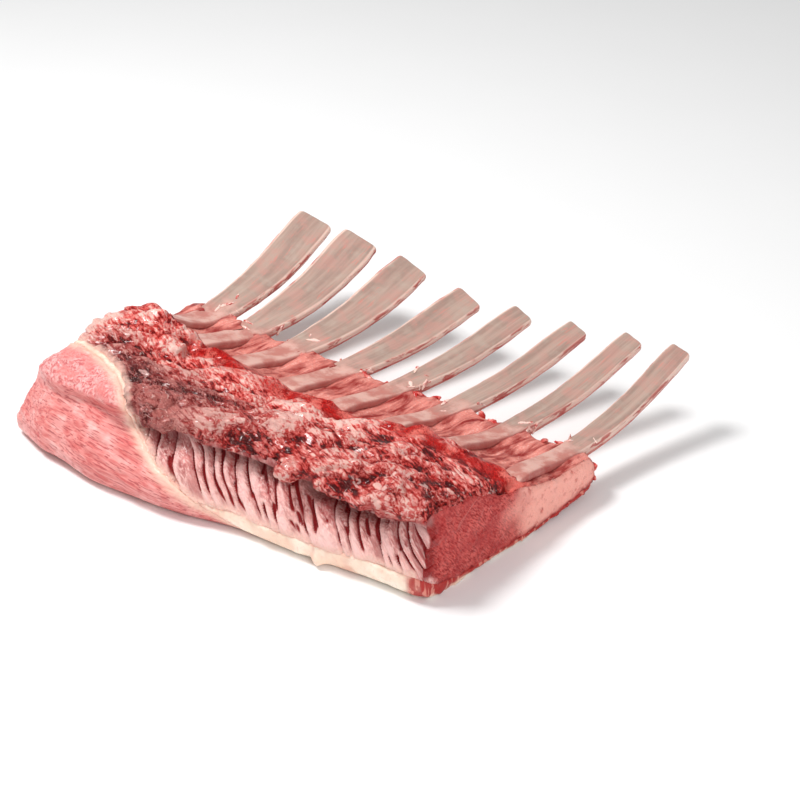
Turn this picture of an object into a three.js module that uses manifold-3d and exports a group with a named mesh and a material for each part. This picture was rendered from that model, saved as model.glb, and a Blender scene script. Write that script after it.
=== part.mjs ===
// A raw, frenched rack of lamb with eight ribs, in millimetres, +Z up.
// It lies fat side down, with the hollow side of the ribs up. X runs along the loin from the
// shoulder end to the loin end, Y from the face where the feather bones were to the rib tips.
// Four kinds of piece: the loin meat with its thin tail, the shoulder muscle that wraps round the
// far end, the fat between and under them, and the ribs, which run through the tail to the ridge.
import * as THREE from "three";
import { mergeVertices } from "three/addons/utils/BufferGeometryUtils.js";
import Module from "manifold-3d";

const wasm = await Module();
wasm.setup();

// Driving sizes of the whole rack.
const LOIN_LENGTH = 219;
const RIB_COUNT = 8;
const RIDGE_Y = 60; // where the ribs were sawn off the backbone
const TAIL_END_Y = 108; // where the meat stops and the bones are scraped bare
const RIB_TIP_Y = 176;
const FLAT_END_Y = 72; // the underside lies flat up to here, then curls up under the tail
const TAIL_LIFT = 5; // how high the underside is at the tail's edge
const FAR_END_SKEW = 0.05; // how the two cut ends follow the ribs, in mm of X for each mm of Y
const NEAR_END_SKEW = 0.11;
const FAR_END_LEAN = 0.38; // the shoulder end slopes, in mm of X for each mm of Z
const LEAN_START_Z = 6;

// The meat's outline.
const FAT_BAND = 13; // height of the fat that shows along the front face
const UNDER_FAT = 2.8; // thickness of the fat under the loin and the tail
const FAT_FADE = 9; // how fast the fat thins from the front face inwards
const SEAM = 3.6; // fat between the shoulder muscle and the loin
const MUSCLE_DEPTH = 30; // the shoulder muscle's thickness at the far end
const MUSCLE_BLUNT = 4; // how blunt the muscle's inner side is
const GAP = 0.3; // clearance between neighbouring pieces
const END_ROUND = 2; // rounding of the two cut ends

// The meshes' fineness.
const ROWS = 38;
const SPAN_STEPS = 3; // columns between two points of the outline
const RIB_SIDES = 12;
const RIB_STEPS = 14;

// A value that changes along a line: stops is a list of [place, value] pairs, joined smoothly.
function along(stops, place) {
  const last = stops.length - 1;
  if (place <= stops[0][0]) return stops[0][1];
  if (place >= stops[last][0]) return stops[last][1];
  const i = stops.findIndex((stop) => stop[0] > place) - 1;
  const [from, start] = stops[i];
  const [to, end] = stops[i + 1];
  return start + (end - start) * THREE.MathUtils.smoothstep(place, from, to);
}

// A fixed random number from 0 to 1 for each pair of whole numbers.
function hash(i, j) {
  const wave = Math.sin(i * 127.1 + j * 311.7) * 43758.5453;
  return wave - Math.floor(wave);
}

// Smooth lumps from -1 to 1, a lump for each unit of x and y.
function lumps(x, y) {
  const i = Math.floor(x);
  const j = Math.floor(y);
  const fx = THREE.MathUtils.smoothstep(x - i, 0, 1);
  const fy = THREE.MathUtils.smoothstep(y - j, 0, 1);
  const low = THREE.MathUtils.lerp(hash(i, j), hash(i + 1, j), fx);
  const high = THREE.MathUtils.lerp(hash(i, j + 1), hash(i + 1, j + 1), fx);
  return 2 * THREE.MathUtils.lerp(low, high, fy) - 1;
}

// Height of the underside at a distance y from the front.
function undersideAt(y) {
  const share = Math.max(0, (y - FLAT_END_Y) / (TAIL_END_Y - FLAT_END_Y));
  return TAIL_LIFT * share ** 1.5;
}

// Sizes that change along the loin, from u = 0 at the shoulder end to u = 1 at the loin end.
const frontAt = (u) => along([[0, -1], [0.12, -9], [0.27, -14], [0.4, -13], [0.6, -6], [1, -2]], u);
const ridgeHeightAt = (u) => along([[0, 46], [0.1, 45], [0.23, 34], [0.56, 29], [0.85, 33], [1, 28]], u);
const crownAt = (u) => along([[0, 40], [0.3, 41], [0.6, 41], [1, 39]], u);
const leanAt = (u) => along([[0, 6], [0.3, 14], [0.6, 12], [0.85, 9], [1, 3]], u);
const lipAt = (u) => along([[0, 1], [0.35, 3], [0.6, 6], [0.9, 6], [1, 1]], u);
const tailTopAt = (u) => along([[0, 27], [0.3, 22], [0.5, 20], [1, 20]], u);

// The outline of a cross-section at u, as [y, z] points from the bottom of the front face,
// up the face and over the crown to the ridge, down the hollow side, and back under the tail.
function outlineAt(u) {
  const front = frontAt(u);
  const crown = crownAt(u) + 1.5 * lumps(u * 9, 2.5);
  const ridge = ridgeHeightAt(u) + 1.6 * lumps(u * 15, 7.5);
  const ridgeY = RIDGE_Y + 1.5 * lumps(u * 12, 4.5);
  const lean = leanAt(u);
  const lip = lipAt(u) * (1 + 0.5 * lumps(u * 14, 11.5));
  const tail = TAIL_END_Y + 2.5 * lumps(u * 17, 15.5);
  const tailTop = tailTopAt(u);
  return [
    [front + 6, 0],
    [front + 0.5, 5],
    [front, FAT_BAND],
    [front + 0.45 * lean, FAT_BAND + 9],
    [front + lean, crown - 10],
    [front + lean - lip, crown - 5],
    [front + lean + 3, crown],
    [front + lean + 14, crown + 1],
    [0.5 * (front + ridgeY) + 8, 0.45 * crown + 0.55 * ridge + 1],
    [ridgeY - 8, ridge + 1],
    [ridgeY, ridge],
    [ridgeY + 9, 0.55 * ridge + 0.45 * tailTop],
    [ridgeY + 25, tailTop + 1],
    [tail - 3, tailTop],
    [tail, 0.5 * (tailTop + TAIL_LIFT)],
    [tail - 3, undersideAt(tail - 3)],
    [0.5 * (FLAT_END_Y + tail), undersideAt(0.5 * (FLAT_END_Y + tail))],
    [FLAT_END_Y, 0],
    [0.5 * FLAT_END_Y, -1],
  ];
}

// The crown and the ridge are torn where the backbone was cut away; elsewhere the meat is smoother.
function reliefAt(x, y, z) {
  const beforeRidge = THREE.MathUtils.smoothstep(RIDGE_Y + 8 - y, 0, 8);
  const crownShare = THREE.MathUtils.smoothstep(z, 29, 37) * beforeRidge;
  const coarse = lumps(x / 13, y / 11 + 30);
  const fine = lumps(x / 6.5 + 50, y / 6 + 9);
  const smooth = 0.5 * lumps(x / 22, (y + z) / 18 + 70);
  return crownShare * (2.2 * coarse + 1.2 * fine) + smooth;
}

// A closed body through rings of points, each ring with its own centre for the end caps.
function loft(rings, firstCentre, lastCentre) {
  const columns = rings[0].length;
  const points = [...rings.flat(), firstCentre, lastCentre];
  const faces = [];
  for (let r = 0; r < rings.length - 1; r++) {
    for (let c = 0; c < columns; c++) {
      const next = (c + 1) % columns;
      const [a, b] = [r * columns + c, r * columns + next];
      const [d, e] = [a + columns, b + columns];
      faces.push(a, d, b, b, d, e);
    }
  }
  const lastRing = (rings.length - 1) * columns;
  for (let c = 0; c < columns; c++) {
    const next = (c + 1) % columns;
    faces.push(points.length - 2, c, next);
    faces.push(points.length - 1, lastRing + next, lastRing + c);
  }
  const geometry = new THREE.BufferGeometry().setFromPoints(points);
  geometry.setIndex(faces);
  return geometry;
}

// A geometry as a solid that can be joined and cut.
function solidOf(geometry) {
  const bare = geometry.clone();
  bare.deleteAttribute("normal");
  bare.deleteAttribute("uv");
  const merged = mergeVertices(bare, 1e-4);
  const mesh = new wasm.Mesh({
    numProp: 3,
    vertProperties: merged.attributes.position.array,
    triVerts: new Uint32Array(merged.index.array),
  });
  return new wasm.Manifold(mesh);
}

function geometryOf(solid) {
  const mesh = solid.getMesh();
  const geometry = new THREE.BufferGeometry();
  geometry.setAttribute("position", new THREE.BufferAttribute(mesh.vertProperties, 3));
  geometry.setIndex(new THREE.BufferAttribute(mesh.triVerts, 1));
  return geometry.toNonIndexed();
}

// Place along the loin: both cut ends are skewed, and the shoulder end also slopes.
function xAt(u, y, z) {
  const far = FAR_END_SKEW * y + FAR_END_LEAN * Math.max(0, z - LEAN_START_Z);
  const near = LOIN_LENGTH + NEAR_END_SKEW * y;
  return THREE.MathUtils.lerp(far, near, u);
}

// The whole soft body, before it is parted into meat, muscle and fat.
function wholeMeat() {
  const middle = new THREE.Vector3(0, 46, 15);
  const rings = [];
  for (let row = 0; row <= ROWS; row++) {
    const u = row / ROWS;
    const points = outlineAt(u).map(([y, z]) => new THREE.Vector3(0, y, z));
    const curve = new THREE.CatmullRomCurve3(points, true, "centripetal");
    const ring = curve.getPoints(points.length * SPAN_STEPS).slice(0, -1);
    const fromEnd = Math.min(u, 1 - u) * LOIN_LENGTH;
    const inset = fromEnd < 1 ? END_ROUND : 0;
    rings.push(
      ring.map(({ y, z }) => {
        const x = xAt(u, y, z);
        const out = new THREE.Vector3(0, y, z).sub(middle).normalize();
        const push = reliefAt(x, y, z) - inset;
        return new THREE.Vector3(x, y + out.y * push, Math.max(0, z + out.z * push));
      }),
    );
  }
  const centreAt = (u) => new THREE.Vector3(xAt(u, middle.y, middle.z), middle.y, middle.z);
  return solidOf(loft(rings, centreAt(0), centreAt(1)));
}

// Everything in a block below z = height(x, y).
function blockBelow(height, columns, rows) {
  const [length, width] = [LOIN_LENGTH + 60, TAIL_END_Y + 60];
  const block = new THREE.BoxGeometry(length, width, 2, columns, rows, 1);
  block.translate(LOIN_LENGTH / 2, TAIL_END_Y / 2, 0);
  const place = block.attributes.position;
  for (let i = 0; i < place.count; i++) {
    place.setZ(i, place.getZ(i) > 0 ? height(place.getX(i), place.getY(i)) : -30);
  }
  return solidOf(block);
}

// Everything in a block in front of y = depth(x, z).
function blockBefore(depth, columns, rows) {
  const [length, height] = [LOIN_LENGTH + 60, 90];
  const block = new THREE.BoxGeometry(length, 2, height, columns, 1, rows);
  block.translate(LOIN_LENGTH / 2, 0, height / 2 - 15);
  const place = block.attributes.position;
  for (let i = 0; i < place.count; i++) {
    place.setY(i, place.getY(i) > 0 ? depth(place.getX(i), place.getZ(i)) : -60);
  }
  return solidOf(block);
}

// Top of the fat under the loin: a band at the front face that thins out inwards.
function fatTopAt(x, y) {
  const u = THREE.MathUtils.clamp(x / LOIN_LENGTH, 0, 1);
  const inside = Math.max(0, y - frontAt(u));
  const band = FAT_BAND + 1.5 * lumps(x / 16, 21.5);
  return undersideAt(y) + UNDER_FAT + (band - UNDER_FAT) * Math.exp(-inside / FAT_FADE);
}

// How far along the loin the shoulder muscle reaches on the front face, at a height z.
const muscleReachAt = (z) => along([[0, 0.66], [12, 0.5], [19, 0.42], [30, 0.375], [42, 0.35]], z);

// Inner side of the shoulder muscle.
function muscleInsideAt(x, z) {
  const u = THREE.MathUtils.clamp(x / LOIN_LENGTH, 0, 1);
  const share = Math.min(1.5, u / muscleReachAt(z));
  return frontAt(u) + MUSCLE_DEPTH * (1 - share ** MUSCLE_BLUNT);
}

// The ribs' sizes, from share = 0 at the shoulder end, where they are broad and flat, to 1.
const RIB_FIRST_X = 27;
const RIB_LAST_X = 217;
const RIB_SPREAD = 1.15; // above 1, the ribs stand closer together at the shoulder end
const ribWidthAt = (share) => along([[0, 17], [0.3, 15.5], [0.6, 12], [1, 11]], share);
const ribThicknessAt = (share) => along([[0, 6.2], [1, 7.4]], share);
const ribTipHeightAt = (share) => along([[0, 45], [0.15, 43], [0.45, 29], [0.6, 30], [1, 37]], share);
const ribSlantAt = (share) => along([[0, 0.02], [0.5, 0.24], [0.8, 0.24], [1, 0.14]], share);
const ribTwistAt = (share) => along([[0, -0.35], [1, -0.2]], share);

// The middle line of a rib, from the ridge to its tip.
function ribCurve(share) {
  const u = 0.08 + 0.9 * share;
  const ridge = ridgeHeightAt(u);
  const tailTop = tailTopAt(u);
  const tip = ribTipHeightAt(share);
  const slant = ribSlantAt(share);
  const start = RIB_FIRST_X + (RIB_LAST_X - RIB_FIRST_X) * share ** RIB_SPREAD;
  const points = [
    [RIDGE_Y - 5, ridge - 7],
    [RIDGE_Y + 9, 0.55 * ridge + 0.45 * tailTop - 0.5],
    [RIDGE_Y + 25, tailTop],
    [TAIL_END_Y, tailTop - 1.8],
    [TAIL_END_Y + 30, 0.7 * tailTop + 0.3 * tip - 2.2],
    [RIB_TIP_Y, tip],
  ];
  const slantFrom = 0.5 * (RIDGE_Y + TAIL_END_Y);
  return new THREE.CatmullRomCurve3(
    points.map(([y, z]) => {
      const x = start + slant * Math.max(0.3 * (y - RIDGE_Y), y - slantFrom);
      return new THREE.Vector3(x, y, z);
    }),
    false,
    "centripetal",
  );
}

// A rib's solid, or with grow above 0 the slot that it needs in the meat.
function ribSolid(share, grow) {
  const curve = ribCurve(share);
  const width = ribWidthAt(share);
  const thickness = ribThicknessAt(share);
  const rings = [];
  const centres = [];
  for (let step = 0; step <= RIB_STEPS; step++) {
    const t = step / RIB_STEPS;
    const centre = curve.getPointAt(t);
    const forward = curve.getTangentAt(t);
    const side = new THREE.Vector3(1, 0, 0).addScaledVector(forward, -forward.x).normalize();
    const up = new THREE.Vector3().crossVectors(side, forward);
    const twist = ribTwistAt(share) * THREE.MathUtils.smoothstep(t, 0.25, 0.8);
    const head = 1 - THREE.MathUtils.smoothstep(t, 0, 0.16);
    const halfWidth = 0.5 * width * (0.9 + 0.1 * head + 0.1 * t) + grow;
    const halfThickness = 0.5 * thickness * (1 + 0.25 * head - 0.12 * t) + grow;
    const atEnd = step === 0 || step === RIB_STEPS;
    const shrink = atEnd && !grow ? 0.9 : 1;
    if (grow && step === 0) centre.addScaledVector(forward, -grow);
    if (grow && step === RIB_STEPS) centre.addScaledVector(forward, grow);
    const ring = [];
    for (let s = 0; s < RIB_SIDES; s++) {
      const angle = (2 * Math.PI * s) / RIB_SIDES;
      const [c, d] = [Math.cos(angle), Math.sin(angle)];
      const across = Math.sign(c) * Math.abs(c) ** 0.75 * halfWidth * shrink;
      const over = Math.sign(d) * Math.abs(d) ** 0.75 * halfThickness * shrink;
      ring.push(
        centre
          .clone()
          .addScaledVector(side, across * Math.cos(twist) - over * Math.sin(twist))
          .addScaledVector(up, across * Math.sin(twist) + over * Math.cos(twist)),
      );
    }
    rings.push(ring);
    centres.push(centre);
  }
  return solidOf(loft(rings, centres[0], centres[RIB_STEPS]));
}

// The colours and finishes.
const MEAT = new THREE.MeshStandardMaterial({ color: 0xb5424a, roughness: 0.42, metalness: 0 });
const MUSCLE = new THREE.MeshStandardMaterial({ color: 0xe08a8c, roughness: 0.45, metalness: 0 });
const FAT = new THREE.MeshStandardMaterial({ color: 0xf3dcc6, roughness: 0.5, metalness: 0 });
const BONE = new THREE.MeshStandardMaterial({ color: 0xd9cbbf, roughness: 0.5, metalness: 0 });

// The largest closed body of a solid, without the scraps that a cut leaves.
function mainBody(solid) {
  return solid.decompose().reduce((best, body) => (body.volume() > best.volume() ? body : best));
}

function addPiece(group, name, solid, material) {
  const mesh = new THREE.Mesh(geometryOf(solid), material);
  mesh.name = name;
  group.add(mesh);
}

function rackOfLamb() {
  const whole = wholeMeat();
  const muscleBlock = blockBefore((x, z) => muscleInsideAt(x, z), 30, 12);
  const muscleSlot = blockBefore((x, z) => muscleInsideAt(x, z) + GAP, 30, 12);
  const seamBlock = blockBefore((x, z) => muscleInsideAt(x, z) + SEAM, 30, 12);
  const seamSlot = blockBefore((x, z) => muscleInsideAt(x, z) + SEAM + GAP, 30, 12);
  const fatBlock = blockBelow((x, y) => fatTopAt(x, y), 26, 18);
  const fatSlot = blockBelow((x, y) => fatTopAt(x, y) + GAP, 26, 18);
  const shares = Array.from({ length: RIB_COUNT }, (_, i) => i / (RIB_COUNT - 1));
  const ribSlots = wasm.Manifold.union(shares.map((share) => ribSolid(share, GAP)));

  const meat = mainBody(whole.subtract(fatSlot).subtract(seamSlot).subtract(ribSlots));
  const muscle = mainBody(whole.intersect(muscleBlock));
  const fat = mainBody(
    whole.intersect(fatBlock.add(seamBlock)).subtract(muscleSlot).subtract(ribSlots),
  );

  const group = new THREE.Group();
  addPiece(group, "loin_meat", meat, MEAT);
  addPiece(group, "shoulder_muscle", muscle, MUSCLE);
  addPiece(group, "fat_layer", fat, FAT);
  shares.forEach((share, i) => addPiece(group, `rib_${i + 1}`, ribSolid(share, 0), BONE));

  // The origin is at the middle of the whole rack's footprint, on the surface it lies on.
  const bounds = new THREE.Box3().setFromObject(group);
  const centre = bounds.getCenter(new THREE.Vector3());
  group.position.set(-centre.x, -centre.y, -bounds.min.z);
  return group;
}

export default rackOfLamb();
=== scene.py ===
import math
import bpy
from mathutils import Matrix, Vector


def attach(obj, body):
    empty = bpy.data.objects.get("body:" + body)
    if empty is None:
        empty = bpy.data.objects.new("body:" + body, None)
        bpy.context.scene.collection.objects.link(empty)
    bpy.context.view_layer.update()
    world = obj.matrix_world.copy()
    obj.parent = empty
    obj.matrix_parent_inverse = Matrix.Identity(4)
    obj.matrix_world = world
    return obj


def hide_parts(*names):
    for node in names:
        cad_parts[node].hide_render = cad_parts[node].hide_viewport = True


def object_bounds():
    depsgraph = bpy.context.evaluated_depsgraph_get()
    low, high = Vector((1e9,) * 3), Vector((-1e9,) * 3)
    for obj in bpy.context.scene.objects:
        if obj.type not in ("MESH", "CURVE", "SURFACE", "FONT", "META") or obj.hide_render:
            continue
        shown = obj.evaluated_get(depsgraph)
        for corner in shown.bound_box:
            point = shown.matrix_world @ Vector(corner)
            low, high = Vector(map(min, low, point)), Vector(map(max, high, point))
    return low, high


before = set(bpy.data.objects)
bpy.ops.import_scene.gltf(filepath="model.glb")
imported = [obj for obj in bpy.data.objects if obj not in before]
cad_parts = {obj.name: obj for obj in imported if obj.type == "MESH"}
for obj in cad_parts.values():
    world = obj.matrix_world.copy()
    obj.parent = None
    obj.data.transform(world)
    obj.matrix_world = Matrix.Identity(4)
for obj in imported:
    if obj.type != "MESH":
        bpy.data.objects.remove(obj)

from types import SimpleNamespace

import bmesh
import bpy
import numpy as np
from mathutils import Vector
from mathutils.bvhtree import BVHTree

bl_info = {
    "name": "Raw rack of lamb",
    "version": (1, 0, 0),
    "blender": (4, 5, 0),
    "location": "3D View > Sidebar > Rack of lamb",
    "description": "Dresses the solids of a raw rack of lamb as torn meat, fat and scraped bone",
    "category": "Object",
}

# The solids' box, before anything is dressed.
CAD_LOW, CAD_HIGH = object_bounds()
RIBS = sorted(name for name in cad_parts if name.startswith("rib_"))
MM = 0.001

# Places on the rack in millimetres, as rack_mm measures them: x from the shoulder end, y from the
# base line of the front face towards the rib tips, z up.
TIP_REACH = 177.3
LOIN_LENGTH = 219.0
RIDGE_Y = 60.0
TAIL_END_Y = 108.0
FAT_TOP_Z = 13.0
GROOVE_Z = 35.0
# A hump of the crown near the cut end, and the drip and the curl of the fat.
HUMP_X, HUMP_Y = 178.0, 34.0
DRIP_X = 170.0
CURL_X = 42.0

# The photograph's camera.
CAMERA_AZIMUTH = 36.0
CAMERA_ELEVATION = 30.0
CAMERA_VIEW_ANGLE = 22.6
CAMERA_DISTANCE = 0.770
CAMERA_TARGET = (0.0696, -0.0531, 0.0670)


# Colours


def linear(red, green, blue):
    """A screen colour from 0 to 255 as the linear colour that the shaders use."""

    def one(value):
        share = value / 255
        return share / 12.92 if share <= 0.04045 else ((share + 0.055) / 1.055) ** 2.4

    return (one(red), one(green), one(blue), 1.0)


# Noise on arrays of points


def lattice(cell, seed):
    """A fixed random number from 0 to 1 for each row of whole numbers."""
    mixed = cell[:, 0] * 374761393 + cell[:, 1] * 668265263 + cell[:, 2] * 1442695041
    mixed = (mixed + seed * 974711) & 0xFFFFFFFF
    mixed = ((mixed ^ (mixed >> 13)) * 1274126177) & 0xFFFFFFFF
    return ((mixed ^ (mixed >> 16)) & 0xFFFFFF) / 0xFFFFFF


def soft_noise(points, size, seed):
    """Smooth noise from -1 to 1 with lumps of that size."""
    place = points / size
    cell = np.floor(place).astype(np.int64)
    share = place - cell
    share = share * share * (3 - 2 * share)
    total = np.zeros(len(points))
    for corner in np.ndindex(2, 2, 2):
        weight = np.prod(np.where(np.array(corner) == 1, share, 1 - share), axis=1)
        total += weight * lattice(cell + np.array(corner), seed)
    return 2 * total - 1


def noise_vectors(points, size, seed):
    """Three soft noises side by side, to bend the points of another noise."""
    return np.stack([soft_noise(points, size, seed + k) for k in range(3)], axis=1)


def layered_noise(points, size, seed, layers=3, gain=0.5):
    """Soft noise with finer and weaker layers on top, from about -1 to 1."""
    total = np.zeros(len(points))
    weight = 1.0
    weights = 0.0
    for layer in range(layers):
        total += weight * soft_noise(points, size / 2**layer, seed + 31 * layer)
        weights += weight
        weight *= gain
    return total / weights


def along(stops, place):
    """A value that changes smoothly along a line, from a list of [place, value] pairs."""
    total = np.full(np.shape(place), float(stops[0][1]))
    for (low, start), (high, end) in zip(stops, stops[1:]):
        total += (end - start) * ease(low, high, place)
    return total


def billows(points, size, seed, layers=3, gain=0.5):
    """Rounded lumps with sharp creases between them, from 0 in the creases to about 1."""
    total = np.zeros(len(points))
    weight = 1.0
    weights = 0.0
    for layer in range(layers):
        total += weight * np.abs(soft_noise(points, size / 2**layer, seed + 17 * layer))
        weights += weight
        weight *= gain
    return 1.8 * total / weights


def ease(low, high, values):
    """0 below low, 1 above high and a smooth rise in between; low may be above high."""
    share = np.clip((values - low) / (high - low), 0, 1)
    return share * share * (3 - 2 * share)


def hill(values, centre, width):
    """1 at the centre, falling off smoothly to both sides over about that width."""
    return np.exp(-(((values - centre) / width) ** 2))


# Meshes


def rack_mm(places):
    """Places in the row's frame, in metres, as rack millimetres."""
    moved = places / MM
    moved[:, 0] -= CAD_LOW.x / MM
    moved[:, 1] += TIP_REACH - CAD_HIGH.y / MM
    return moved


def vertex_places(mesh):
    places = np.empty(len(mesh.vertices) * 3, np.float32)
    mesh.vertices.foreach_get("co", places)
    return places.reshape(-1, 3).astype(float)


def vertex_normals(mesh):
    normals = np.empty(len(mesh.vertices) * 3, np.float32)
    mesh.vertex_normals.foreach_get("vector", normals)
    return normals.reshape(-1, 3).astype(float)


def set_places(mesh, places):
    mesh.vertices.foreach_set("co", places.astype(np.float32).ravel())
    mesh.update()


def set_attributes(mesh, **lists):
    """Stores lists of numbers on the mesh's points, each under its own name."""
    for name, values in lists.items():
        attribute = mesh.attributes.get(name) or mesh.attributes.new(name, "FLOAT", "POINT")
        attribute.data.foreach_set("value", np.asarray(values, np.float32))


def set_vectors(mesh, name, vectors):
    attribute = mesh.attributes.new(name, "FLOAT_VECTOR", "POINT")
    attribute.data.foreach_set("vector", vectors.astype(np.float32).ravel())


def point_values(mesh, name):
    values = np.empty(len(mesh.vertices), np.float32)
    mesh.attributes[name].data.foreach_get("value", values)
    return values


def point_vectors(mesh, name):
    vectors = np.empty(len(mesh.vertices) * 3, np.float32)
    mesh.attributes[name].data.foreach_get("vector", vectors)
    return vectors.reshape(-1, 3)


def neighbour_average(mesh, values, rounds):
    """Values spread out over each vertex's neighbours."""
    edges = np.empty(len(mesh.edges) * 2, np.int64)
    mesh.edges.foreach_get("vertices", edges)
    first, second = edges.reshape(-1, 2).T
    count = np.bincount(first, minlength=len(values)) + np.bincount(second, minlength=len(values))
    for _ in range(rounds):
        total = np.bincount(first, values[second], len(values))
        total += np.bincount(second, values[first], len(values))
        values = 0.5 * values + 0.5 * total / np.maximum(count, 1)
    return values


def merged_copy(node):
    """A copy of a node's mesh with its loose triangles joined up."""
    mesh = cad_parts[node].data.copy()
    shape = bmesh.new()
    shape.from_mesh(mesh)
    bmesh.ops.remove_doubles(shape, verts=shape.verts, dist=1e-6)
    shape.to_mesh(mesh)
    shape.free()
    return mesh


def plain_mesh(holder, name):
    """The evaluated mesh of an object, which is then removed with its modifiers."""
    depsgraph = bpy.context.evaluated_depsgraph_get()
    mesh = bpy.data.meshes.new_from_object(holder.evaluated_get(depsgraph))
    mesh.name = name
    bpy.data.objects.remove(holder)
    return mesh


def fine_copy(node, detail):
    """A node's shape as an even mesh whose faces are about that size."""
    holder = bpy.data.objects.new("holder", merged_copy(node))
    bpy.context.scene.collection.objects.link(holder)
    remesh = holder.modifiers.new("Remesh", "REMESH")
    remesh.mode = "VOXEL"
    remesh.voxel_size = detail
    mesh = plain_mesh(holder, node + "_fine")
    for name in [a.name for a in mesh.attributes if a.name.startswith(("sharp", "custom"))]:
        mesh.attributes.remove(mesh.attributes[name])
    return mesh


def nearest_on(places, *nodes):
    """The nearest point of some nodes to each place, and its distance in millimetres."""
    shape = bmesh.new()
    for node in nodes:
        shape.from_mesh(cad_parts[node].data)
    tree = BVHTree.FromBMesh(shape)
    shape.free()
    found = [tree.find_nearest(Vector(place)) for place in places]
    distances = np.array([distance for _, _, _, distance in found]) / MM
    return np.array([point for point, _, _, _ in found]), distances


def distance_to(places, *nodes):
    """The distance from each place to the nearest of some nodes, in millimetres."""
    return nearest_on(places, *nodes)[1]


def leaned(places, overlap_mm, *nodes):
    """Places near some nodes, moved a little way into them, so that no gap shows between."""
    nearest, distance = nearest_on(places, *nodes)
    share = ease(1.6, 0.5, distance) * (distance + overlap_mm) / np.maximum(distance, 0.05)
    return places + (nearest - places) * share[:, None]


def refine(mesh, wanted):
    """Splits the faces whose corners are all wanted."""
    shape = bmesh.new()
    shape.from_mesh(mesh)
    shape.faces.ensure_lookup_table()
    faces = [face for face in shape.faces if all(wanted[vertex.index] for vertex in face.verts)]
    edges = {edge for face in faces for edge in face.edges}
    bmesh.ops.subdivide_edges(shape, edges=list(edges), cuts=1, use_grid_fill=True)
    shape.to_mesh(mesh)
    shape.free()


def add_piece(name, mesh, material, slot, *nodes):
    """Shows a mesh as a piece that stands for some nodes."""
    piece = bpy.data.objects.new(name, mesh)
    bpy.context.scene.collection.objects.link(piece)
    mesh.materials.clear()
    mesh.materials.append(material)
    mesh.polygons.foreach_set("use_smooth", [True] * len(mesh.polygons))
    mesh.update()
    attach(piece, "root")
    if nodes:
        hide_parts(*nodes)
    return piece


# Node trees


class Value:
    """A socket of a node tree that can be used in sums, as if it were a number."""

    def __init__(self, graph, socket):
        self.graph = graph
        self.socket = socket

    def __add__(self, other):
        return self.graph.math("ADD", self, other)

    def __radd__(self, other):
        return self.graph.math("ADD", other, self)

    def __sub__(self, other):
        return self.graph.math("SUBTRACT", self, other)

    def __rsub__(self, other):
        return self.graph.math("SUBTRACT", other, self)

    def __mul__(self, other):
        return self.graph.math("MULTIPLY", self, other)

    def __rmul__(self, other):
        return self.graph.math("MULTIPLY", other, self)


class Graph:
    """A node tree, with one method that adds any node."""

    def __init__(self, tree):
        self.tree = tree
        self.tree.nodes.clear()

    def node(self, kind, settings=None, inputs=None, output=0):
        made = self.tree.nodes.new(kind)
        for name, value in (settings or {}).items():
            setattr(made, name, value)
        for key, value in (inputs or {}).items():
            if isinstance(value, Value):
                self.tree.links.new(value.socket, made.inputs[key])
            else:
                made.inputs[key].default_value = value
        return Value(self, made.outputs[output]) if made.outputs else made

    def math(self, operation, *terms):
        return self.node("ShaderNodeMath", {"operation": operation}, dict(enumerate(terms)))

    def scaled(self, vector, factor):
        inputs = {0: vector, "Scale": factor}
        return self.node("ShaderNodeVectorMath", {"operation": "SCALE"}, inputs)

    def split(self, vector):
        """The three parts of a vector."""
        parts = self.node("ShaderNodeSeparateXYZ", None, {0: vector}).socket.node.outputs
        return [Value(self, socket) for socket in parts]

    def given(self):
        """The inputs of the tree, by name."""
        source = self.tree.nodes.new("NodeGroupInput")
        return {socket.name: Value(self, socket) for socket in source.outputs if socket.name}

    def named(self, name, data_type):
        return self.node("GeometryNodeInputNamedAttribute", {"data_type": data_type}, {"Name": name})

    def store(self, geometry, name, data_type, value):
        settings = {"data_type": data_type, "domain": "POINT"}
        inputs = {"Geometry": geometry, "Name": name, "Value": value}
        return self.node("GeometryNodeStoreNamedAttribute", settings, inputs)

    def random(self, low, high, seed):
        inputs = {2: low, 3: high, "Seed": seed}
        return self.node("FunctionNodeRandomValue", {"data_type": "FLOAT"}, inputs, 1)

    def roughened(self, geometry, place, scale, depth, seed):
        """The geometry with its points moved in and out along their normals."""
        inputs = {"Vector": place, "W": seed, "Scale": scale, "Detail": 3.0}
        noise = self.node("ShaderNodeTexNoise", {"noise_dimensions": "4D"}, inputs)
        offset = self.scaled(self.node("GeometryNodeInputNormal"), (noise - 0.5) * depth)
        inputs = {"Geometry": geometry, "Offset": offset}
        return self.node("GeometryNodeSetPosition", None, inputs)

    def finish(self, geometry, material):
        """Ends the tree with real meshes of that material."""
        real = self.node("GeometryNodeRealizeInstances", None, {"Geometry": geometry})
        done = self.node("GeometryNodeSetMaterial", None, {"Geometry": real, "Material": material})
        self.node("NodeGroupOutput", None, {"Geometry": done})


def add_inputs(tree, *inputs):
    """Gives a geometry tree its geometry, the named inputs and an output."""
    tree.interface.new_socket("Geometry", in_out="INPUT", socket_type="NodeSocketGeometry")
    for name, kind, value in inputs:
        tree.interface.new_socket(name, in_out="INPUT", socket_type=kind).default_value = value
    tree.interface.new_socket("Geometry", in_out="OUTPUT", socket_type="NodeSocketGeometry")


def grown_mesh(holder, tree, name, values):
    """The mesh that a geometry tree makes of an object, with some of its inputs set."""
    modifier = holder.modifiers.new("Tree", "NODES")
    modifier.node_group = tree
    for item in tree.interface.items_tree:
        if item.item_type == "SOCKET" and item.in_out == "INPUT" and item.name in values:
            modifier[item.identifier] = values[item.name]
    return plain_mesh(holder, name)


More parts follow.
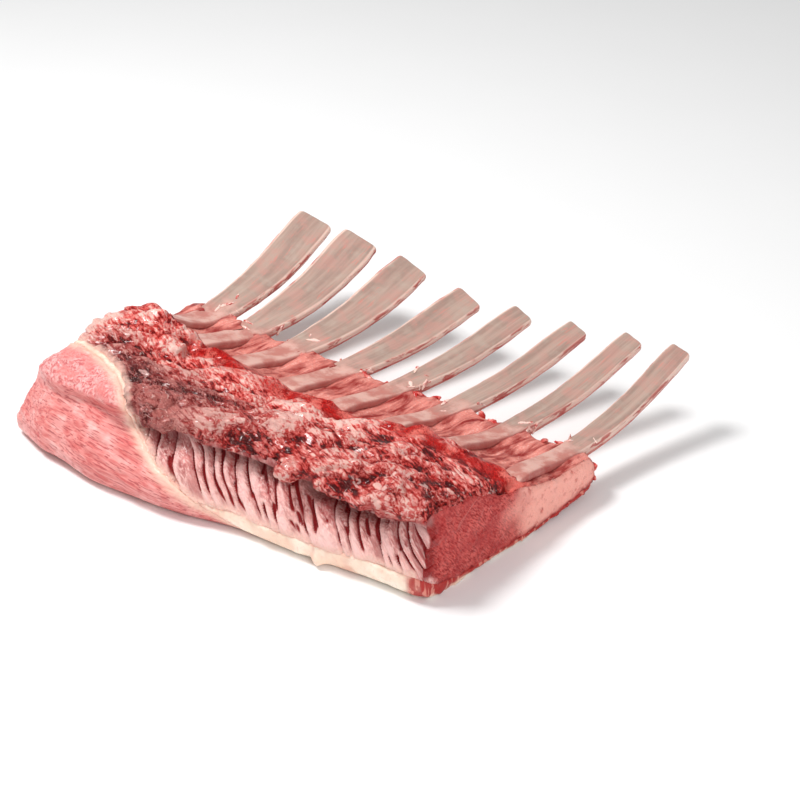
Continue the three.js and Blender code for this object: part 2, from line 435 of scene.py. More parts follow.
class Finish(Graph):
    """The node tree of one material, for a surface read by its Object coordinates."""

    def __init__(self, name):
        self.material = bpy.data.materials.new(name)
        self.material.use_nodes = True
        super().__init__(self.material.node_tree)
        self.place = self.node("ShaderNodeTexCoord", output="Object")

    def attribute(self, name):
        return self.node("ShaderNodeAttribute", {"attribute_name": name}, output="Fac")

    def ease(self, value, low, high):
        settings = {"interpolation_type": "SMOOTHSTEP"}
        return self.node("ShaderNodeMapRange", settings, {0: value, 1: low, 2: high})

    def mix(self, share, first, second):
        settings = {"data_type": "RGBA", "clamp_factor": True}
        return self.node("ShaderNodeMix", settings, {0: share, 6: first, 7: second}, 2)

    def layered(self, colour, *layers):
        """A colour with others laid over it, each as its share and its screen colour."""
        for share, screen in layers:
            colour = self.mix(share, colour, linear(*screen))
        return colour

    def stretched(self, x, y, z, turn=(0.0, 0.0, 0.0), place=None):
        """The place for a texture that is turned and then drawn out along its own axes."""
        inputs = {"Vector": place or self.place, "Rotation": turn, "Scale": (x, y, z)}
        return self.node("ShaderNodeMapping", {"vector_type": "TEXTURE"}, inputs)

    def noise(self, size_mm, detail=3.0, roughness=0.55, place=None, wobble=0.0):
        inputs = {
            "Vector": place or self.place,
            "Scale": 1 / (size_mm * MM),
            "Detail": detail,
            "Roughness": roughness,
            "Distortion": wobble,
        }
        return self.node("ShaderNodeTexNoise", None, inputs)

    def bump(self, height, depth_mm, strength=1.0):
        inputs = {"Height": height, "Distance": depth_mm * MM, "Strength": strength}
        return self.node("ShaderNodeBump", None, inputs)

    def surface(self, colour, roughness, normal, coat=0.0, **constants):
        inputs = {"Base Color": colour, "Roughness": roughness, "Normal": normal}
        inputs["Coat Weight"] = coat
        inputs.update({name.replace("_", " "): value for name, value in constants.items()})
        shader = self.node("ShaderNodeBsdfPrincipled", None, inputs)
        self.node("ShaderNodeOutputMaterial", None, {"Surface": shader})
        return self.material


# What a wet, slightly see-through surface shares.
WET = {
    "Subsurface_Weight": 0.1,
    "Subsurface_Radius": (1.0, 0.3, 0.2),
    "Subsurface_Scale": 0.0015,
    "Specular_IOR_Level": 0.14,
    "Coat_Roughness": 0.09,
    "Coat_IOR": 1.36,
}


# The attributes that the loin's mesh gives to its finish.
LOIN_MASKS = (
    "relief fold slit lip_shade face low crown ridge hollow cut_end near_fat near_bone"
    " bruise film end_rim end_tail"
).split()


def torn_colour(g, masks, coarse, middle):
    """The torn crown: red flesh, pale film and a brownish patch, with painted shade in the creases and
    painted highlights on the crests. Also the height of its strands."""
    grain = g.stretched(6, 1, 1, (0, 0, -0.42))
    strands = g.noise(1.5, 5, 0.7, grain, 0.5)
    sinews = g.noise(2.4, 3, 0.6, grain, 1.2)
    scratches = g.noise(0.9, 4, 0.65, grain, 2.0)
    # The tone rises with the crown's relief. Its darkest colours are painted shade in the creases, and
    # its palest are painted highlights on the crests. The strands, blotches and film vary it as real
    # colour.
    tone = 0.56 * masks["relief"] + 0.34 * g.ease(strands, 0.38, 0.62) + 0.16 * g.ease(middle, 0.38, 0.62)
    tone = tone + 0.2 * (g.ease(coarse, 0.38, 0.62) - 0.5) + 0.18 * masks["film"]
    tone = 1.4 * tone - 0.23
    torn = g.layered(
        linear(78, 6, 9),
        (g.ease(tone, 0.24, 0.48), (150, 18, 16)),
        (g.ease(tone, 0.45, 0.6), (206, 58, 52)),
        (g.ease(tone, 0.57, 0.84), (240, 132, 124)),
        (g.ease(tone, 0.82, 1.04), (255, 207, 195)),
        (g.ease(coarse + 0.3 * middle, 0.74, 0.86) * 0.55, (196, 34, 30)),
    )
    brown = g.layered(
        linear(56, 7, 10),
        (g.ease(tone + 0.5 * (middle - 0.5), 0.3, 0.85), (124, 36, 36)),
        # Paler on the crests: painted highlight, through the tone.
        (g.ease(tone, 0.8, 1.05), (180, 94, 88)),
        (g.ease(scratches, 0.56, 0.63) * 0.7, (226, 168, 160)),
    )
    torn = g.mix(masks["bruise"] * g.ease(middle + 0.5 * coarse, 0.3, 0.6) * 0.95, torn, brown)
    torn = g.layered(torn, (g.ease(sinews, 0.6, 0.66) * 0.55, (250, 204, 196)))
    return torn, 1.2 * strands + 0.4 * sinews


def strip_colour(g, masks, middle):
    """The front face: pinkish strips paling towards the fat, painted light and shade on the folds. Also
    its fibres.
    """
    slant = g.stretched(8, 1, 1, (0, 0.95, 0))
    fibres = g.noise(0.8, 3, 0.6, slant)
    streaks = g.noise(2.2, 3, 0.6, slant)
    strip = g.layered(
        linear(158, 66, 66),
        (g.ease(streaks + 0.4 * fibres, 0.4, 0.9), (238, 166, 160)),
        (g.ease(fibres, 0.46, 0.64) * 0.65, (255, 216, 209)),
        (masks["low"] * 0.7, (252, 208, 198)),
        # Painted light on the folds: a painted highlight on one side of each fold and painted shade on
        # the other.
        (g.ease(masks["fold"], 0.5, 0.8) * 0.6, (250, 204, 198)),
        (g.ease(masks["fold"], 0.46, 0.2) * 0.55, (158, 62, 62)),
        (g.ease(middle, 0.52, 0.72) * 0.3, (168, 56, 56)),
        # The slits: deeper red meat darkened with painted shade.
        (g.ease(masks["slit"], 0.05, 0.5), (146, 32, 34)),
    )
    return strip, fibres


def cut_colour(g, masks, coarse, middle):
    """The smooth cut end, with fine grain, some marbling, a dark rim and a pale tail."""
    grain = g.noise(0.6, 4, 0.65, g.stretched(1, 1, 5, (0.7, 0, 0)))
    marbling = g.noise(3.4, 6, 0.75, wobble=1.8)
    sinew = g.noise(1.6, 3, 0.6, g.stretched(1, 9, 1, (0.45, 0, 0)), 0.8)
    return g.layered(
        linear(142, 26, 28),
        (g.ease(grain, 0.36, 0.62), (212, 94, 88)),
        (g.ease(marbling, 0.56, 0.68) * 0.6, (228, 132, 124)),
        (g.ease(sinew, 0.6, 0.7) * 0.5, (232, 150, 142)),
        (g.ease(coarse, 0.42, 0.62) * 0.5, (166, 40, 42)),
        (masks["end_tail"] * g.ease(middle, 0.2, 0.5), (246, 172, 158)),
        (masks["end_rim"] * 0.8, (136, 12, 14)),
    )


def loin_finish():
    """Raw loin: folded grey-pink face, torn lumpy crown, red sawn ridge, smooth cut end."""
    g = Finish("Raw loin")
    masks = {name: g.attribute(name) for name in LOIN_MASKS}
    coarse = g.noise(9, 3)
    middle = g.noise(3.2, 4, 0.6)
    fine = g.noise(0.9, 3, 0.6)
    specks = g.noise(1.0, 4, 0.7, wobble=1.5)
    torn, torn_height = torn_colour(g, masks, coarse, middle)
    strip, fibres = strip_colour(g, masks, middle)
    sawn = g.layered(
        linear(142, 4, 5),
        (g.ease(specks, 0.38, 0.6), (216, 34, 28)),
        (g.ease(coarse + 0.4 * specks, 0.66, 0.86), (238, 120, 108)),
    )
    bundles = g.noise(3.6, 4, 0.6, g.stretched(1, 5, 1, (0, 0, -0.15)), 0.6)
    # The hollow between the ribs: painted shade in the gaps beside the bones, and pale film whose
    # brightest patches are partly painted highlight.
    film = g.layered(
        linear(140, 30, 28),
        (g.ease(bundles + 0.4 * coarse, 0.5, 0.85), (224, 138, 126)),
        (g.ease(fine + bundles, 1.1, 1.3) * 0.5, (244, 196, 184)),
        (g.ease(masks["near_bone"], 0.35, 0.8), (128, 20, 20)),
    )
    colour = g.layered(linear(150, 30, 32), (g.ease(middle, 0.36, 0.66), (204, 80, 76)))
    colour = g.mix(masks["face"], colour, strip)
    colour = g.mix(masks["crown"], colour, torn)
    colour = g.layered(colour, (masks["lip_shade"] * 0.6, (104, 20, 24)))
    colour = g.mix(masks["hollow"], colour, film)
    colour = g.mix(masks["ridge"], colour, sawn)
    colour = g.mix(masks["cut_end"], colour, cut_colour(g, masks, coarse, middle))
    edge = g.ease(masks["near_fat"] + 0.45 * middle, 0.5, 1.0) * (1.0 - 0.85 * masks["cut_end"])
    colour = g.mix(edge, colour, g.mix(fine, linear(238, 168, 156), linear(250, 222, 206)))

    rough = torn_height * masks["crown"] + fibres * 0.5 * masks["face"]
    height = middle * 0.25 + fine * 0.28 + rough - 0.5 * masks["slit"]
    roughness = 0.46 - 0.16 * g.ease(fine, 0.4, 0.7)
    wet = g.ease(g.noise(5, 3), 0.42, 0.62) * (0.25 + 0.5 * masks["crown"] + 0.3 * masks["face"])
    return g.surface(colour, roughness, g.bump(height, 1.4, 1.0), wet, **WET)


def shoulder_finish():
    """Pale pink muscle with fibres along it and a thin white film in places."""
    g = Finish("Pink shoulder muscle")
    relief = g.attribute("relief")
    lengthwise = g.stretched(9, 1, 1, (0, 0.12, 0))
    fibres = g.noise(1.5, 4, 0.6, lengthwise, 0.5)
    threads = g.noise(0.7, 2, 0.5, lengthwise)
    blotches = g.noise(14, 3)
    fine = g.noise(0.9, 3)
    flecks = g.noise(1.8, 4, 0.7, wobble=1.0)
    colour = g.layered(
        linear(204, 92, 90),
        (g.ease(fibres, 0.3, 0.7), (234, 156, 150)),
        (g.ease(blotches, 0.42, 0.7) * 0.6, (242, 184, 178)),
        (g.ease(threads, 0.56, 0.64) * 0.7, (168, 62, 66)),
        (g.ease(blotches + 0.5 * fibres, 0.84, 1.0) * 0.35, (250, 208, 202)),
        # Painted shade in the low places of the wrinkles.
        (g.ease(relief, 0.3, 0.1) * 0.8, (178, 60, 62)),
    )
    marbled = g.layered(
        linear(198, 96, 98),
        (g.ease(flecks, 0.38, 0.62), (244, 192, 188)),
        # Painted shade in the low places of the lumpy top.
        (g.ease(relief, 0.4, 0.15), (150, 34, 42)),
        (g.ease(blotches, 0.45, 0.6) * 0.7, (226, 124, 120)),
    )
    colour = g.mix(g.attribute("crown") * 0.9, colour, marbled)
    near_fat = g.ease(g.attribute("near_fat") + 0.5 * fibres, 0.45, 1.1) * 0.9
    colour = g.layered(colour, (near_fat, (246, 206, 186)))
    height = relief * 0.5 + fibres * 0.6 + fine * 0.2
    roughness = 0.46 - 0.1 * g.ease(fine, 0.4, 0.7)
    return g.surface(colour, roughness, g.bump(height, 0.7, 0.8), 0.25, **WET)


def fat_finish():
    """Cream fat, pink where it meets the meat and red round the cut end."""
    g = Finish("Cream fat")
    blotches = g.noise(12, 3)
    fine = g.noise(1.4, 4)
    teeth = g.ease(g.noise(2.6, 2, 0.5, g.stretched(1, 1, 4)), 0.52, 0.6)
    colour = g.layered(
        linear(250, 216, 194),
        (g.ease(blotches, 0.35, 0.65), (255, 240, 222)),
        (g.ease(fine, 0.55, 0.75) * 0.4, (238, 178, 160)),
        (g.ease(g.attribute("near_meat") + 0.6 * fine, 0.7, 1.2) * 0.7, (238, 168, 154)),
        # Painted shade in the creases.
        (g.ease(g.attribute("relief"), 0.4, 0.15) * 0.6, (232, 176, 156)),
    )
    rim = g.layered(linear(176, 52, 48), (teeth * 0.7, (232, 156, 140)))
    colour = g.mix(g.attribute("end_rim"), colour, rim)
    height = fine * 0.6 + blotches
    return g.surface(colour, 0.46 - 0.08 * fine, g.bump(height, 0.6, 0.7), 0.2, **WET)


def bone_finish():
    """Scraped bone: grey-beige flat, painted highlight on the rims, pink-red sides with painted shade,
    red spongy end, meat traces near the root.
    """
    g = Finish("Scraped bone")
    edge = g.attribute("edge")
    grain = g.node("ShaderNodeAttribute", {"attribute_name": "grain"}, output="Vector")
    streaks = g.noise(0.8, 3, 0.55, g.stretched(1, 30, 1, place=grain), 0.3)
    bands = g.noise(3.0, 2, 0.5, g.stretched(1, 12, 1, place=grain), 0.3)
    smears = g.noise(2.6, 4, 0.6, g.stretched(1, 5, 1, place=grain), 0.6)
    traces = g.noise(1.2, 3, 0.6, g.stretched(1, 9, 1, place=grain), 0.6)
    sponge = g.noise(0.9, 4, 0.7, wobble=1.5)
    blotches = g.noise(9, 3)
    fine = g.noise(0.8, 3)
    colour = g.layered(
        linear(158, 132, 121),
        (g.ease(bands + 0.5 * streaks, 0.5, 1.0), (183, 157, 144)),
        (g.ease(blotches, 0.45, 0.65) * 0.5, (194, 144, 133)),
        (g.ease(blotches, 0.46, 0.3) * 0.35, (184, 168, 155)),
        # A painted highlight along the rims. Past them, pink-red tissue darkened with painted shade on
        # the sides and the far face.
        (g.ease(edge + 0.3 * streaks, 0.7, 1.0) * 0.8, (236, 206, 192)),
        (g.ease(edge + 0.3 * streaks, 1.1, 1.4) * 0.85, (190, 100, 90)),
        (g.ease(smears, 0.5, 0.6) * g.ease(edge, 0.5, 1.1) * 0.85, (166, 30, 28)),
        (g.ease(traces, 0.6, 0.68) * 0.45, (214, 130, 120)),
    )
    skin = g.layered(
        linear(190, 116, 106),
        (g.ease(blotches + 0.2 * fine, 0.45, 0.75), (218, 172, 160)),
        (g.ease(edge, 0.5, 1.1) * 0.7, (158, 40, 38)),
    )
    root = g.attribute("root") + 0.6 * blotches + 0.3 * bands
    colour = g.mix(g.ease(root, 0.65, 1.4) * 0.9, colour, skin)
    marrow = g.layered(
        linear(140, 16, 16),
        (g.ease(sponge, 0.38, 0.62), (222, 96, 86)),
        (g.ease(g.attribute("core"), 0.74, 0.9), (240, 196, 178)),
    )
    colour = g.mix(g.attribute("tip"), colour, marrow)
    height = streaks * 0.25 + fine * 0.2
    return g.surface(colour, 0.5 - 0.1 * blotches, g.bump(height, 0.4, 0.6), 0.12, **WET)


def scrap_finish(name, share_pale):
    """Torn bits of meat and film where the bones were scraped."""
    g = Finish(name)
    patches = g.noise(3.5, 3)
    fine = g.noise(0.8, 3)
    colour = g.layered(
        linear(186, 40, 38),
        (g.ease(patches, 0.4, 0.6), (234, 132, 124)),
        (g.ease(patches + 0.3 * fine + share_pale, 0.9, 1.1), (248, 210, 198)),
    )
    return g.surface(colour, 0.4, g.bump(fine, 0.4, 0.7), 0.5, **WET)


# Shapes of the meat


def front_line(u):
    """How far back the top of the front face stands, from u = 0 at the shoulder end to 1."""
    foot = along([[0, -1], [0.12, -9], [0.27, -14], [0.4, -13], [0.6, -6], [1, -2]], u)
    return foot + along([[0, 6], [0.3, 14], [0.6, 12], [0.85, 9], [1, 3]], u)


def loin_areas(p, wide):
    """How far each point of the loin belongs to each area, from 0 to 1, and the brow's place."""
    x, y, z = p.T
    u = x / LOIN_LENGTH
    brow = front_line(u)
    front = ease(brow + 8, brow + 4, y)
    groove = GROOVE_Z - 0.5 + 2.8 * soft_noise(p, 15, 7) + 2.2 * soft_noise(p, 6.5, 8)
    top = ease(-0.1, 0.35, wide[:, 2])
    before_ridge = ease(RIDGE_Y + 5, RIDGE_Y - 1, y)
    ridge_line = RIDGE_Y + 2.5 * soft_noise(p, 18, 5)
    ridge = ease(9, 3, np.abs(y - ridge_line + 2)) * top
    ridge *= ease(-0.3, 0.2, layered_noise(p, 22, 11, 2) + 0.25 * ease(0.4, 0.7, u))
    return SimpleNamespace(
        brow=brow,
        face=front * ease(groove + 1.5, groove - 1.5, z),
        crown=np.maximum(ease(groove - 1, groove + 2, z), top * (1 - front)) * before_ridge,
        lip=ease(brow + 14, brow + 5, y) * hill(z, groove + 3.5, 3.5),
        lip_shade=front * hill(z, groove - 2.5, 3.2),
        ridge=ridge,
        hollow=ease(RIDGE_Y, RIDGE_Y + 6, y) * ease(0.0, 0.3, wide[:, 2]),
        tail_edge=ease(TAIL_END_Y - 6, TAIL_END_Y - 1, y),
        cut_end=ease(0.75, 0.92, wide[:, 0]) * ease(LOIN_LENGTH - 12, LOIN_LENGTH - 6, x),
        far_end=ease(0.6, 0.85, -wide[:, 0]) * ease(40, 25, x),
        under=ease(0.5, 0.85, -wide[:, 2]) * ease(TAIL_END_Y, TAIL_END_Y - 8, y),
    )


def front_folds(p, face, spacing):
    """Shingled folds of the front face, and the slits that open where one rises over the next."""
    x, y, z = p.T
    slant = along([[0, 0.35], [0.35, 0.6], [0.6, 0.85], [1, 0.8]], x / LOIN_LENGTH)
    warp = 2.5 * layered_noise(p, 24, 21, 2)
    drawn = np.stack([x + slant * (z - 24) + warp, 0.3 * y, 0.17 * z], axis=1)
    ahead = drawn + np.array([0.5, 0, 0])
    fold = soft_noise(drawn, spacing, 41)
    rising = ease(-0.02, 0.08, soft_noise(ahead, spacing, 41) - fold)
    open_here = ease(-0.5, 0.1, layered_noise(p * np.array([1, 1, 0.6]), 9, 51, 2) + 0.2)
    slit = ease(0.36, 0.08, np.abs(fold + 0.1)) * rising * open_here * face
    return fold, slit * ease(FAT_TOP_Z - 1, FAT_TOP_Z + 4, z)


def crown_lumps(p):
    """The height of the torn crown's lumps, which are drawn out along a slanting line."""
    x, y, z = p.T
    turn = math.radians(-24)
    lengthwise = x * math.cos(turn) - y * math.sin(turn)
    crosswise = x * math.sin(turn) + y * math.cos(turn)
    drawn = np.stack([0.4 * lengthwise, crosswise, 0.8 * z], axis=1)
    drawn += 3.0 * noise_vectors(p, 13, 61)
    lumps = billows(drawn, 10.5, 71, 2, 0.45)
    strands = billows(drawn * np.array([0.42, 1, 1]), 3.8, 81, 2, 0.6)
    rugged = ease(-0.3, 0.4, layered_noise(p, 20, 95, 2))
    always = along([[0, 0.4], [0.12, 1], [0.36, 1], [0.46, 0]], x / LOIN_LENGTH) * ease(34, 22, y)
    rugged = np.maximum(rugged, always)
    torn = 3.6 * (lumps - 0.45) + 2.3 * (strands - 0.45) * (0.6 + 0.7 * rugged)
    torn -= 1.0 * ease(0.16, 0.0, strands) * rugged
    return torn + 0.3 * layered_noise(p, 2.6, 91, 2, 0.6) * rugged


def loin_mesh(settings):
    """The loin with its folded face, torn crown and stringy tail, and the masks of each."""
    mesh = fine_copy("loin_meat", settings.detail)
    x, y, z = rack_mm(vertex_places(mesh)).T
    refine(mesh, (z > FAT_TOP_Z - 1) & (y < front_line(x / LOIN_LENGTH) + 22))
    places = vertex_places(mesh)
    normals = vertex_normals(mesh)
    p = rack_mm(places.copy())
    x, y, z = p.T
    u = x / LOIN_LENGTH
    wide = np.stack([neighbour_average(mesh, normals[:, k], 6) for k in range(3)], axis=1)
    area = loin_areas(p, wide)
    brow, uncut = area.brow, 1 - area.cut_end
    fat_distance = distance_to(places, "fat_layer", "shoulder_muscle")
    near_bone = np.exp(-distance_to(places, *RIBS) / 1.6)
    fold, slit = front_folds(p, area.face, settings.fold_spacing)
    torn = crown_lumps(p)
    gentle = 0.5 * layered_noise(p, 9, 101, 3)

    # How far each point moves out, in millimetres: first the crown with its overhanging lip.
    push = gentle * (1 - 0.5 * area.far_end) + settings.lump_depth * torn * area.crown
    push += area.lip * (0.7 + 3.2 * soft_noise(p * np.array([1, 0.5, 0.5]), 12, 171))
    push += area.lip * 2.4 * soft_noise(p, 5, 172)
    flap = along([[0.66, 0], [0.76, 2.2], [0.93, 2.2], [0.98, 0]], u)
    push += flap * area.lip * (1 + soft_noise(p, 7, 173))
    undercut = along([[0, 2.4], [0.6, 2.4], [0.72, 5.5], [0.94, 5.5], [1, 2]], u)
    push -= undercut * area.lip_shade * ease(0, 30, x)
    push += 2.2 * hill(x, HUMP_X, 20) * hill(y, HUMP_Y, 13) * area.crown
    # The crown rounds over into the cut end.
    push -= 3.2 * ease(LOIN_LENGTH - 11, LOIN_LENGTH + 1, x - 0.11 * y) * area.crown
    push *= uncut
    push += area.cut_end * (0.9 * layered_noise(p, 9, 131, 3, 0.6) + 0.3 * soft_noise(p, 2.2, 137))
    push -= 2.6 * area.cut_end * ease(26, 40, z + 0.12 * y)
    push += area.face * 0.8 * np.tanh(2.2 * fold) - settings.slit_depth * slit
    push += area.hollow * (0.7 * layered_noise(p, 6, 111, 3) - 0.3 - 1.3 * (1 - near_bone))
    push += area.tail_edge * 1.2 * layered_noise(p, 4, 121, 3, 0.7)
    # The underside, the fat's edge and the bones hold the meat back.
    push *= (1 - area.under) * (1 - 0.8 * ease(1.2, 0.5, fat_distance))
    sinking = 1 - 0.8 * np.minimum(1, 1.4 * near_bone)
    rising = 1 - np.minimum(1, 1.6 * near_bone) * area.hollow
    push *= np.where(push < 0, sinking, rising)
    places = leaned(places, 0.5, "fat_layer")
    places = leaned(places, 0.4, *RIBS)
    set_places(mesh, places + normals * (push * MM)[:, None])

    near_fat = np.exp(-fat_distance / settings.fat_blend)
    near_fat *= 1 - ease(LOIN_LENGTH - 9, LOIN_LENGTH - 4, x) * ease(brow + 1, brow + 5, y)
    near_fat *= 1 - ease(LOIN_LENGTH - 4, LOIN_LENGTH - 1, x)
    bruise = along([[0.04, 0.1], [0.14, 1], [0.4, 1], [0.52, 0.45], [0.75, 0.2], [1, 0.2]], u)
    bruise *= ease(brow + 42, brow + 20, y + 7 * soft_noise(p, 12, 145))
    film = ease(0.05, 0.5, layered_noise(p, 17, 151, 3)) * (1 - bruise)
    film = np.maximum(film, along([[0.02, 1.4], [0.14, 0.3]], u)) - along([[0.55, 0], [0.75, 0.55]], u)
    below_crown = ease(41, 33, z + 0.12 * y + 2.5 * soft_noise(p, 5, 161))
    before_end = 1 - 0.7 * ease(LOIN_LENGTH - 8, LOIN_LENGTH - 2, x)
    set_attributes(
        mesh,
        # relief: the crown's height. The finish paints shade in its creases and highlights on its crests
        # from it.
        relief=np.clip(0.54 + 0.19 * torn * area.crown + 0.15 * gentle, 0, 1),
        fold=0.5 + 0.5 * fold,
        slit=slit,
        lip_shade=area.lip_shade,
        face=area.face,
        low=ease(FAT_TOP_Z + 11, FAT_TOP_Z, z) * before_end,
        crown=area.crown * uncut,
        ridge=area.ridge * uncut,
        hollow=area.hollow * uncut,
        cut_end=area.cut_end * below_crown,
        near_fat=near_fat,
        near_bone=near_bone,
        bruise=bruise,
        film=film,
        end_rim=ease(brow + 10, brow + 1, y),
        end_tail=ease(46, 64, y + 6 * soft_noise(p, 9, 181)),
        torn_edge=area.tail_edge * ease(-0.2, 0.3, wide[:, 1]),
    )
    return mesh


def shoulder_mesh(settings):
    """The shoulder muscle with long soft wrinkles, and a lumpy marbled top."""
    mesh = fine_copy("shoulder_muscle", settings.detail)
    places = vertex_places(mesh)
    normals = vertex_normals(mesh)
    p = rack_mm(places.copy())
    distance = distance_to(places, "fat_layer")
    along_fibres = p * np.array([0.16, 1.0, 1.0])
    along_fibres[:, 2] += 0.12 * p[:, 0]
    along_fibres += 1.2 * noise_vectors(p, 16, 195)
    wrinkles = billows(along_fibres, 5.0, 201, 3, 0.5) - 0.45
    lumps = billows(p, 6, 221, 3) - 0.45
    top = ease(0.15, 0.5, normals[:, 2]) * ease(30, 36, p[:, 2])
    push = 0.9 * wrinkles * (1 - top) + 1.3 * layered_noise(p, 18, 211, 2) + 1.7 * top * lumps
    under = ease(-0.5, -0.85, normals[:, 2])
    push *= ease(0.4, 2.5, distance) * (1 - under)
    places = leaned(places, 0.5, "fat_layer")
    set_places(mesh, places + normals * (push * MM)[:, None])
    set_attributes(
        mesh,
        # relief: the height of the wrinkles and lumps. The finish uses it for bumps and for painted shade
        # in the low places.
        relief=np.clip(0.5 + 0.5 * (wrinkles * (1 - top) + lumps * top), 0, 1),
        crown=top,
        near_fat=np.exp(-distance / (1.6 * settings.fat_blend)),
    )
    return mesh


def fat_mesh(settings):
    """The fat layer with soft lumps and creases along the front, a drip and a curled end."""
    mesh = fine_copy("fat_layer", settings.detail)
    places = vertex_places(mesh)
    normals = vertex_normals(mesh)
    p = rack_mm(places.copy())
    x, y, z = p.T
    distance = distance_to(places, "loin_meat", "shoulder_muscle")
    lumps = layered_noise(p * np.array([1, 1, 0.5]), 8, 301, 3)
    creases = billows(p * np.array([1, 1, 0.35]), 9, 311, 2) - 0.5
    push = (1.2 * lumps + 0.9 * creases) * ease(0.5, 3, distance) + 0.35 * soft_noise(p, 3, 321)
    push += 1.6 * hill(x, CURL_X, 9) * ease(30, 36, z) * ease(20, 8, y)
    push += 3.5 * hill(x, DRIP_X, 3.2) * ease(9, 2, z) * ease(14, 4, y)
    push *= ease(-0.85, -0.5, normals[:, 2])
    set_places(mesh, places + normals * (push * MM)[:, None])
    cut_end = ease(LOIN_LENGTH - 9.0, LOIN_LENGTH - 2.5, x + 3.5 * soft_noise(p, 3.5, 331))
    set_attributes(
        mesh,
        near_meat=np.exp(-distance / 2.2),
        end_rim=cut_end * ease(0.2, 1.6, z + 1.2 * soft_noise(p, 5, 332)),
        # relief: the height of the lumps and creases. The finish paints shade in the creases from it.
        relief=np.clip(0.5 + 0.4 * (lumps + creases), 0, 1),
    )
    return mesh


# Shapes of the ribs


# How many times each solid rib is read along its length, and how many rings its bone then has.
RIB_READINGS = 40
RIB_RINGS = 96
# The rounded tip, in millimetres, and its last rings: how far each stands from the tip, in
# millimetres, and its shares of the rib's width and thickness.
TIP_LENGTH = 2.4
TIP_RINGS = (
    (1.7, 0.995, 1.0),
    (1.1, 0.98, 1.0),
    (0.65, 0.955, 0.98),
    (0.35, 0.925, 0.96),
    (0.14, 0.885, 0.92),
    (0.03, 0.84, 0.87),
    (0.0, 0.78, 0.8),
    (0.25, 0.6, 0.64),
    (0.45, 0.35, 0.38),
    (0.35, 0.07, 0.08),
)
# How each rib departs from its solid, as [rib, value] pairs: the share that its tip is wider, and
# how far its tip stands aside and its root is lifted, in millimetres.
TIP_FLARE = [[0, 0.2], [1, 0.3], [3, 0.17], [4.5, 0.04], [7, 0]]
TIP_ASIDE = [[0, 0.8], [1, 3.6], [2, 1.2], [3, -0.4], [4.5, 0], [7, 0]]
ROOT_RISE = [[0, 0], [1, 0.9], [2, 0]]


class RibReading:
    """The middle line, width and thickness of one rib, read from its solid."""

    def __init__(self, node):
        mesh = merged_copy(node)
        self.places = vertex_places(mesh)
        edges = np.empty(len(mesh.edges) * 2, np.int64)
        mesh.edges.foreach_get("vertices", edges)
        self.edges = edges.reshape(-1, 2)
        bpy.data.meshes.remove(mesh)

    def cut(self, origin, direction):
        """Where a plane cuts the rib's edges."""
        height = (self.places - origin) @ direction
        first, second = self.edges.T
        crossing = height[first] * height[second] < 0
        first, second = first[crossing], second[crossing]
        share = (height[first] / (height[first] - height[second]))[:, None]
        return self.places[first] * (1 - share) + self.places[second] * share

    def stations(self):
        """Middles, side directions, half widths and half thicknesses from the root to the tip."""
        low, high = self.places[:, 1].min(), self.places[:, 1].max()
        rows = np.linspace(low + 0.004, high - 0.004, RIB_READINGS)
        forward = np.array([0.0, 1.0, 0.0])
        rough = [self.cut(np.array([0, y, 0]), forward) for y in rows]
        middles = np.array([0.5 * (cut.min(axis=0) + cut.max(axis=0)) for cut in rough])
        headings = np.gradient(middles, axis=0)
        headings /= np.linalg.norm(headings, axis=1)[:, None]
        result = []
        for middle, heading in zip(middles, headings):
            cut = self.cut(middle, heading) - middle
            _, axes = np.linalg.eigh(cut.T @ cut)
            side = axes[:, 2] * np.sign(axes[0, 2])
            up = np.cross(side, heading)
            across, over = cut @ side, cut @ up
            middle = middle + side * 0.5 * (across.max() + across.min())
            middle = middle + up * 0.5 * (over.max() + over.min())
            tilt = math.asin(side[2])
            result.append([*middle, tilt, 0.5 * np.ptp(across), 0.5 * np.ptp(over)])
        return np.array(result)

    def ends(self, middles, headings):
        """How far the rib reaches past its first and last station."""
        before = ((self.places - middles[0]) @ headings[0]).min()
        after = ((self.places - middles[-1]) @ headings[-1]).max()
        return before, after


def unit(vectors):
    return vectors / np.linalg.norm(vectors, axis=1)[:, None]


